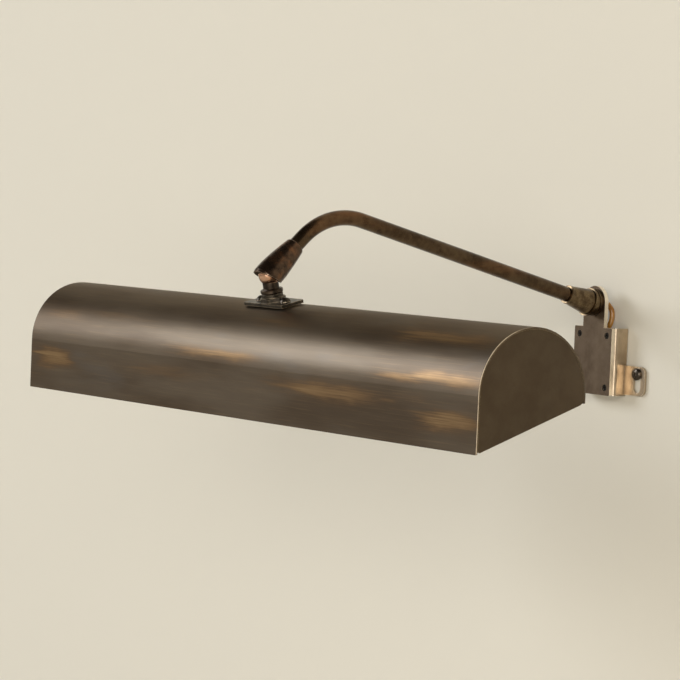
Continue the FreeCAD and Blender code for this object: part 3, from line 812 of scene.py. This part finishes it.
@dataclass
class Trough:
    """The rolled shade: shell, cheeks, solder beads and reflector."""

    slant: float = math.radians(20.0)
    corner: float = 2.6 * MM
    rim: float = 0.25 * MM
    bead: float = 0.55 * MM
    steps: int = 56
    bead_start: float = 1.5 * MM
    bead_stop: float = 0.5 * MM
    rubs: tuple[Rub, ...] = (
        Rub(-208, -10.5, 24, 5.5, 1.0),
        Rub(-203, 20.0, 22, 4.0, 0.30),
        Rub(-140, 23.0, 34, 4.0, 0.22),
        Rub(-75, -9.0, 52, 4.5, 0.30),
        Rub(-20, 4.8, 46, 3.4, 0.62),
        Rub(35, 31.0, 30, 4.0, 0.32),
        Rub(60, -7.5, 30, 4.5, 0.34),
        Rub(108, -8.0, 40, 6.0, 0.62),
        Rub(170, 6.5, 26, 3.5, 0.40),
        Rub(209, 7.0, 36, 4.2, 0.58),
        Rub(190, 33.0, 44, 5.0, 0.72),
        Rub(212, -15.5, 26, 5.5, 1.0),
    )
    low: Vector = field(init=False)
    high: Vector = field(init=False)

    def __post_init__(self) -> None:
        """Read the shell's place from the frame."""
        self.low, self.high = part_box("shade_shell")

    @property
    def radius(self) -> float:
        """Outer radius of the roll."""
        return (self.high.y - self.low.y) / 2

    @property
    def centre(self) -> Vector:
        """Centre of the roll, at the middle of the trough."""
        return Vector((0, (self.high.y + self.low.y) / 2, self.high.z - self.radius))

    def cheek_mesh(self, node: str) -> bmesh.types.BMesh:
        """Flat cheek with rounded lower corners and a softened rim.

        Args:
            node: the CAD cheek it follows.

        Returns:
            Its mesh.
        """
        low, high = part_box(node)
        centre = Vector((low.x, self.centre.y, self.centre.z))
        mesh = bmesh.new()
        front = mesh.verts.new((low.x, low.y, low.z))
        knee = mesh.verts.new((low.x, low.y, centre.z))
        outline = [mesh.edges.new((front, knee))]
        swept = bmesh.ops.spin(mesh, geom=[knee], cent=centre, axis=(1, 0, 0), dvec=(0, 0, 0),
                               angle=-math.pi, steps=self.steps, use_merge=False)
        back = [v for v in swept["geom_last"] if isinstance(v, bmesh.types.BMVert)][0]
        heel = mesh.verts.new((low.x, high.y, low.z + (high.y - low.y) * math.tan(self.slant)))
        outline.append(mesh.edges.new((back, heel)))
        outline.append(mesh.edges.new((heel, front)))
        bmesh.ops.contextual_create(mesh, geom=list(mesh.edges))
        bmesh.ops.bevel(mesh, geom=[front, heel], offset=self.corner, offset_type="OFFSET",
                        segments=6, profile=0.5, affect="VERTICES", material=-1)
        grown = bmesh.ops.extrude_face_region(mesh, geom=list(mesh.faces))
        moved = [v for v in grown["geom"] if isinstance(v, bmesh.types.BMVert)]
        bmesh.ops.translate(mesh, verts=moved, vec=(high.x - low.x, 0, 0))
        rims = [e for e in mesh.edges if abs(e.verts[0].co.x - e.verts[1].co.x) < MERGE]
        bmesh.ops.bevel(mesh, geom=rims, offset=self.rim, offset_type="OFFSET", segments=2,
                        profile=0.5, affect="EDGES", material=-1)
        return mesh

    def bead_mesh(self, node: str) -> bmesh.types.BMesh:
        """Solder bead in the corner between a cheek and the shell.

        Args:
            node: the CAD cheek it runs round.

        Returns:
            Its mesh.
        """
        low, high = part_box(node)
        inner_x = high.x if low.x < 0 else low.x
        inward = 1 if low.x < 0 else -1
        x = inner_x + inward * self.bead * 0.5
        inset = self.bead * 0.5
        start_z = low.z + self.bead_start
        mesh = bmesh.new()
        spot = Matrix.Translation((x, low.y + inset, start_z))
        bmesh.ops.create_circle(mesh, cap_ends=True, segments=8, radius=self.bead, matrix=spot)
        grown = bmesh.ops.extrude_face_region(mesh, geom=list(mesh.faces))["geom"]
        knee = [v for v in grown if isinstance(v, bmesh.types.BMVert)]
        bmesh.ops.translate(mesh, verts=knee, vec=(0, 0, self.centre.z - start_z))
        top = [g for g in grown if isinstance(g, bmesh.types.BMFace)]
        swept = bmesh.ops.spin(mesh, geom=top, cent=self.centre, axis=(1, 0, 0), dvec=(0, 0, 0),
                               angle=-math.pi, steps=self.steps, use_merge=False)["geom_last"]
        last = [g for g in swept if isinstance(g, bmesh.types.BMFace)]
        grown = bmesh.ops.extrude_face_region(mesh, geom=last)["geom"]
        end = [v for v in grown if isinstance(v, bmesh.types.BMVert)]
        heel_z = low.z + (high.y - low.y) * math.tan(self.slant) + self.bead_start
        end_z = min(heel_z, self.centre.z - self.bead_stop)
        bmesh.ops.translate(mesh, verts=end, vec=(0, 0, end_z - self.centre.z))
        return mesh

    def build(self) -> None:
        """Make the pieces and dress the shell and liner."""
        middle = self.centre
        shell = TroughPatina((middle.y, middle.z), self.radius, self.rubs)
        dress(shell.coat("trough_patina"), "shade_shell")
        cheek = Patina((0.084, 0.061, 0.040), (0.098, 0.074, 0.050), (0.112, 0.080, 0.051),
                       (0.50, 0.38, 0.22), patch=0.060, rough=(0.42, 0.54),
                       rub=(0.55, 0.85)).coat("cheek_patina")
        solder = Brushed((0.50, 0.47, 0.40), (0.34, 0.31, 0.26), rough=(0.28, 0.45)).coat("solder")
        for side in ("left", "right"):
            node = "end_cap_" + side
            made = piece("cheek_" + side, self.cheek_mesh(node), Body.SHADE, cheek)
            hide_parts(node)
            piece("solder_bead_" + side, self.bead_mesh(node), Body.SHADE, solder)
        dress(Brushed((0.88, 0.88, 0.86), (0.74, 0.74, 0.72), Grain.ALONG_X, (0.16, 0.30),
                      bright=(0.95, 0.95, 0.93)).coat("liner_sheet"), "reflector")


@dataclass
class Lamps:
    """Two tubular lamps with their holders, strap and leads."""

    coil_radius: float = 0.75 * MM
    wire: float = 0.14 * MM
    turns: int = 13
    half_span: float = 4.5 * MM
    stem: float = 14.5 * MM
    inset: float = 0.5 * MM
    lean: float = math.radians(14)
    turn_steps: int = 12

    def helix(self, start: Vector, run: Vector) -> bmesh.types.BMesh:
        """Coiled wire from start along run.

        Args:
            start: first end of the coil's axis.
            run: the axis to its other end.

        Returns:
            Its mesh.
        """
        mesh = bmesh.new()
        spot = Matrix.Translation(start + Vector((self.coil_radius, 0, 0)))
        bmesh.ops.create_circle(mesh, cap_ends=True, segments=6, radius=self.wire, matrix=spot)
        steps = self.turns * self.turn_steps
        bmesh.ops.spin(mesh, geom=list(mesh.faces), cent=start, axis=run.normalized(),
                       dvec=run / steps, angle=math.tau * self.turns, steps=steps, use_merge=False)
        return mesh

    def build(self) -> None:
        """Make the filaments and dress the lamps' nodes."""
        metal = Brushed((0.34, 0.33, 0.32), (0.22, 0.21, 0.20), rough=(0.3, 0.5))
        tungsten = metal.coat("tungsten")
        for side in ("left", "right"):
            low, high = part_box("lamp_filament_" + side)
            x = low.x + self.inset if side == "left" else high.x - self.inset
            glass_low, glass_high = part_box("lamp_glass_" + side)
            axis = (glass_low + glass_high) / 2
            across = Vector((0, math.cos(self.lean), math.sin(self.lean)))
            start = Vector((x, axis.y, axis.z)) - across * self.half_span
            coil = self.helix(start, across * 2 * self.half_span)
            piece("filament_coil_" + side, coil, Body.SHADE, tungsten)
        dress(ClearGlass().coat("bulb_glass"), "lamp_glass_left", "lamp_glass_right")
        near_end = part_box("lamp_filament_right")[0].x
        dress(Mount(near_end + self.stem).coat("filament_mount"),
              "lamp_filament_left", "lamp_filament_right")
        cap = Brushed((0.80, 0.62, 0.34), (0.58, 0.42, 0.22), rough=(0.2, 0.36))
        dress(cap.coat("cap_brass"), "lamp_cap_left", "lamp_cap_right", "earth_tag")
        dress(Glazed().coat("porcelain"), "lamp_holder_left", "lamp_holder_right")
        dress(Woven().coat("glass_sleeve"), "lamp_leads")


@dataclass
class Metalwork:
    """Carried-over metal: knuckle, arm, bracket, box and fasteners."""

    ball_radius: float = 6.72 * MM
    cup_worn_share: float = 0.45

    def build(self) -> None:
        """Dress every carried-over node."""
        arm = Patina((0.048, 0.030, 0.017), (0.100, 0.068, 0.040), (0.185, 0.092, 0.044),
                     (0.24, 0.15, 0.085), patch=0.026, grain=Grain.ALONG_Y, rub=(0.48, 0.70),
                     rough=(0.20, 0.31))
        dress(arm.coat("arm_patina"), "arm_tube")
        boss = Patina((0.075, 0.050, 0.029), (0.190, 0.137, 0.078), (0.30, 0.20, 0.100),
                      (0.11, 0.075, 0.045), patch=0.016, rub=(0.52, 0.76), rough=(0.24, 0.36),
                      wear=0.0003)
        dress(boss.coat("boss_patina"), "ferrule", "collar")
        low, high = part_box("barrel_cup")
        knuckle = Patina((0.042, 0.029, 0.021), (0.100, 0.065, 0.044), (0.25, 0.110, 0.052),
                         (0.66, 0.50, 0.37), patch=0.014, rub=(0.48, 0.70), rough=(0.20, 0.32),
                         worn_below=low.z + self.cup_worn_share * (high.z - low.z))
        dress(knuckle.coat("knuckle_patina"), "barrel_cup")
        cap = Patina(knuckle.dark, knuckle.mid, knuckle.rubbed, knuckle.mid, patch=0.016,
                     rub=knuckle.rub, rough=knuckle.rough)
        dress(cap.coat("barrel_cap_patina"), "barrel_cap")
        foot = Patina((0.040, 0.034, 0.028), (0.085, 0.072, 0.056), (0.16, 0.11, 0.07),
                      (0.50, 0.40, 0.28), patch=0.012, rub=(0.58, 0.80), rough=(0.26, 0.42))
        dress(foot.coat("foot_patina"), "base_column", "top_plate", "dome_screws")
        pivot = Vector(JOINTS["knuckle_tilt"])
        dress(BallPatina(pivot, self.ball_radius).coat("ball_patina"), "ball_stem")
        # the arm plate's cut sides are painted pale cream: bare bronze, also a painted highlight
        bracket = Patina((0.110, 0.077, 0.050), (0.165, 0.120, 0.082), (0.21, 0.155, 0.105),
                         (0.26, 0.20, 0.14), patch=0.030, grain=Grain.UPRIGHT, rub=(0.45, 0.80),
                         rough=(0.34, 0.46), cut=(0.97, 0.88, 0.74))
        dress(bracket.coat("bracket_bronze"), "arm_plate")
        # the box's recesses get painted shade
        dress(Brushed((0.60, 0.49, 0.36), (0.42, 0.33, 0.235), Grain.UPRIGHT, (0.22, 0.36),
                      recess_shade=(0.10, 0.075, 0.05)).coat("box_nickel"), "wall_box")
        # near-black screw heads: dark steel, also painted shade in their counterbores
        dress(Brushed((0.030, 0.025, 0.020), (0.018, 0.015, 0.012), bright=(0.06, 0.05, 0.04),
                      rough=(0.40, 0.55)).coat("sunk_steel_shaded"), "plate_screws")
        dress(Brushed((0.085, 0.070, 0.055), (0.050, 0.042, 0.034), bright=(0.40, 0.34, 0.26),
                      rough=(0.24, 0.40)).coat("black_steel"), "wall_screws")
        dress(Brushed((0.66, 0.66, 0.63), (0.48, 0.48, 0.45), rough=(0.26, 0.44)).coat("zinc"),
              "terminal_screws", "block_screw", "earth_screw", "stud", "back_nut", "stem_nut",
              "stem_washer", "dome_nuts", "holder_nuts", "lamp_strap", "disc_springs")


@dataclass
class Wiring:
    """Leads, connector and bushes."""

    def build(self) -> None:
        """Dress the leads and mouldings."""
        amber = Moulded((0.66, 0.32, 0.055), (0.42, 0.17, 0.025), 0.22, clear=0.2, coat_weight=0.8)
        dress(amber.coat("amber_sheath"), "arm_lead", "stem_lead")
        cores = Moulded((0.42, 0.36, 0.14), (0.28, 0.30, 0.10), 0.40)
        dress(cores.coat("core_insulation"), "lead_cores")
        white = Moulded((0.74, 0.71, 0.62), (0.66, 0.62, 0.52), 0.45)
        dress(white.coat("white_moulding"), "terminal_block", "stud_bush")
        black = Moulded((0.050, 0.048, 0.045), (0.030, 0.029, 0.028), 0.50)
        dress(black.coat("black_moulding"), "ball_seat")


# ---------------------------------------------------------------- studio
@dataclass
class Studio:
    """Cream wall, pale floor, one large cool window of light and a broad warm fill."""

    wall_y: float = 0.6 * MM
    wall_colour: Colour = (0.76, 0.722, 0.628)
    floor_colour: Colour = (0.58, 0.545, 0.47)
    fleck: Colour = (0.69, 0.655, 0.57)
    horizon: Colour = (0.37, 0.325, 0.262)
    ceiling: Colour = (0.10, 0.09, 0.075)
    floor_z: float = -1.1
    eye: Triple = (1.5372, -1.3416, 0.1114)
    azimuth: float = math.radians(53.86)
    pitch: float = math.radians(2.97)
    roll: float = math.radians(-2.42)
    lens: float = 163.7
    sensor: float = 36.0
    window_place: Triple = (-3.9, -3.95, 1.97)
    window_size: tuple[float, float] = (3.1, 2.1)
    window_power: float = 152.0
    window_colour: Colour = (0.95, 1.0, 1.07)
    fill_place: Triple = (2.9, -3.6, 0.5)
    fill_size: tuple[float, float] = (3.4, 2.6)
    fill_power: float = 122.0
    fill_colour: Colour = (1.0, 0.965, 0.905)
    horizon_at: float = 0.15
    ceiling_at: float = 0.75

    def backdrop(self, name: str, corners: list[Triple], colour: Colour) -> None:
        """One-sided pale plane: it shows from the object's side only.

        Args:
            name: its name.
            corners: four corners, anticlockwise as the object sees them.
            colour: its paint.
        """
        mesh = bmesh.new()
        mesh.faces.new([mesh.verts.new(corner) for corner in corners])
        data = bpy.data.meshes.new(name)
        mesh.to_mesh(data)
        mesh.free()
        plane = bpy.data.objects.new(name, data)
        bpy.context.scene.collection.objects.link(plane)
        book = Recipe(name + "_paint")
        grain = book.noise(book.place, 0.004, 4.0, 0.6)
        tone = book.mix(book.times(grain, 0.06), colour, self.fleck)
        paint = book.node("ShaderNodeBsdfDiffuse")
        book.feed(paint.inputs["Color"], tone)
        book.feed(paint.inputs["Normal"], book.bump(grain, 0.0002, 0.2))
        clear = book.node("ShaderNodeBsdfTransparent")
        sides = book.node("ShaderNodeMixShader")
        book.feed(sides.inputs[0], book.node("ShaderNodeNewGeometry").outputs["Backfacing"])
        book.tree.links.new(paint.outputs[0], sides.inputs[1])
        book.tree.links.new(clear.outputs[0], sides.inputs[2])
        book.tree.links.new(sides.outputs[0], book.output.inputs["Surface"])
        data.materials.append(book.material)

    def light(self, name: str, place: Vector, aim: Vector, size: tuple[float, float], power: float,
              colour: Colour) -> None:
        """Rectangular soft light.

        Args:
            name: its name.
            place: where it stands.
            aim: the point it faces.
            size: width and height.
            power: watts.
            colour: light colour.
        """
        data = bpy.data.lights.new(name, "AREA")
        data.shape = "RECTANGLE"
        data.size, data.size_y = size
        data.energy = power
        data.color = colour
        lamp = bpy.data.objects.new(name, data)
        bpy.context.scene.collection.objects.link(lamp)
        lamp.location = place
        lamp.rotation_mode = "QUATERNION"
        lamp.rotation_quaternion = (aim - place).to_track_quat("-Z", "Y")

    def camera(self) -> None:
        """Camera at the viewing angle."""
        turn, dip, roll = self.azimuth, self.pitch, self.roll
        ahead = Vector((-math.sin(turn) * math.cos(dip), math.cos(turn) * math.cos(dip),
                        -math.sin(dip)))
        level = Vector((math.cos(turn), math.sin(turn), 0))
        down = ahead.cross(level)
        right = level * math.cos(roll) + down * math.sin(roll)
        up = level * math.sin(roll) - down * math.cos(roll)
        data = bpy.data.cameras.new("camera")
        data.lens = self.lens
        data.sensor_width = self.sensor
        data.clip_start, data.clip_end = 0.05, 50.0
        eye = bpy.data.objects.new("camera", data)
        bpy.context.scene.collection.objects.link(eye)
        turned = Matrix((right, up, -ahead)).transposed().to_4x4()
        eye.matrix_world = Matrix.Translation(self.eye) @ turned
        bpy.context.scene.camera = eye

    def build(self) -> None:
        """Set up wall, floor, lights, surroundings and camera."""
        y, z = self.wall_y, self.floor_z
        self.backdrop("wall", [(-5, y, z), (5, y, z), (5, y, 4), (-5, y, 4)], self.wall_colour)
        self.backdrop("floor", [(-7, -9, z), (7, -9, z), (7, y, z), (-7, y, z)], self.floor_colour)
        middle = Vector((0, -0.2, 0))
        self.light("window", Vector(self.window_place), middle, self.window_size,
                   self.window_power, self.window_colour)
        self.light("fill", Vector(self.fill_place), middle, self.fill_size,
                   self.fill_power, self.fill_colour)
        world = bpy.data.worlds.new("room")
        world.use_nodes = True
        nodes, links = world.node_tree.nodes, world.node_tree.links
        height = nodes.new("ShaderNodeSeparateXYZ")
        links.new(nodes.new("ShaderNodeTexCoord").outputs["Generated"], height.inputs[0])
        ramp = nodes.new("ShaderNodeValToRGB")
        links.new(height.outputs[2], ramp.inputs[0])
        ramp.color_ramp.elements[0].color = (*self.horizon, 1.0)
        ramp.color_ramp.elements[0].position = self.horizon_at
        ramp.color_ramp.elements[1].color = (*self.ceiling, 1.0)
        ramp.color_ramp.elements[1].position = self.ceiling_at
        links.new(ramp.outputs[0], nodes["Background"].inputs["Color"])
        nodes["Background"].inputs["Strength"].default_value = 1.0
        bpy.context.scene.world = world
        settings = bpy.context.scene.view_settings
        settings.view_transform = "Standard"
        settings.look = "None"
        self.camera()


def main() -> None:
    """Build every sub-assembly in order."""
    logging.basicConfig(level=logging.INFO, format="%(message)s")
    Studio().build()
    Trough().build()
    Lamps().build()
    Metalwork().build()
    Wiring().build()


if __name__ == "__main__":
    main()
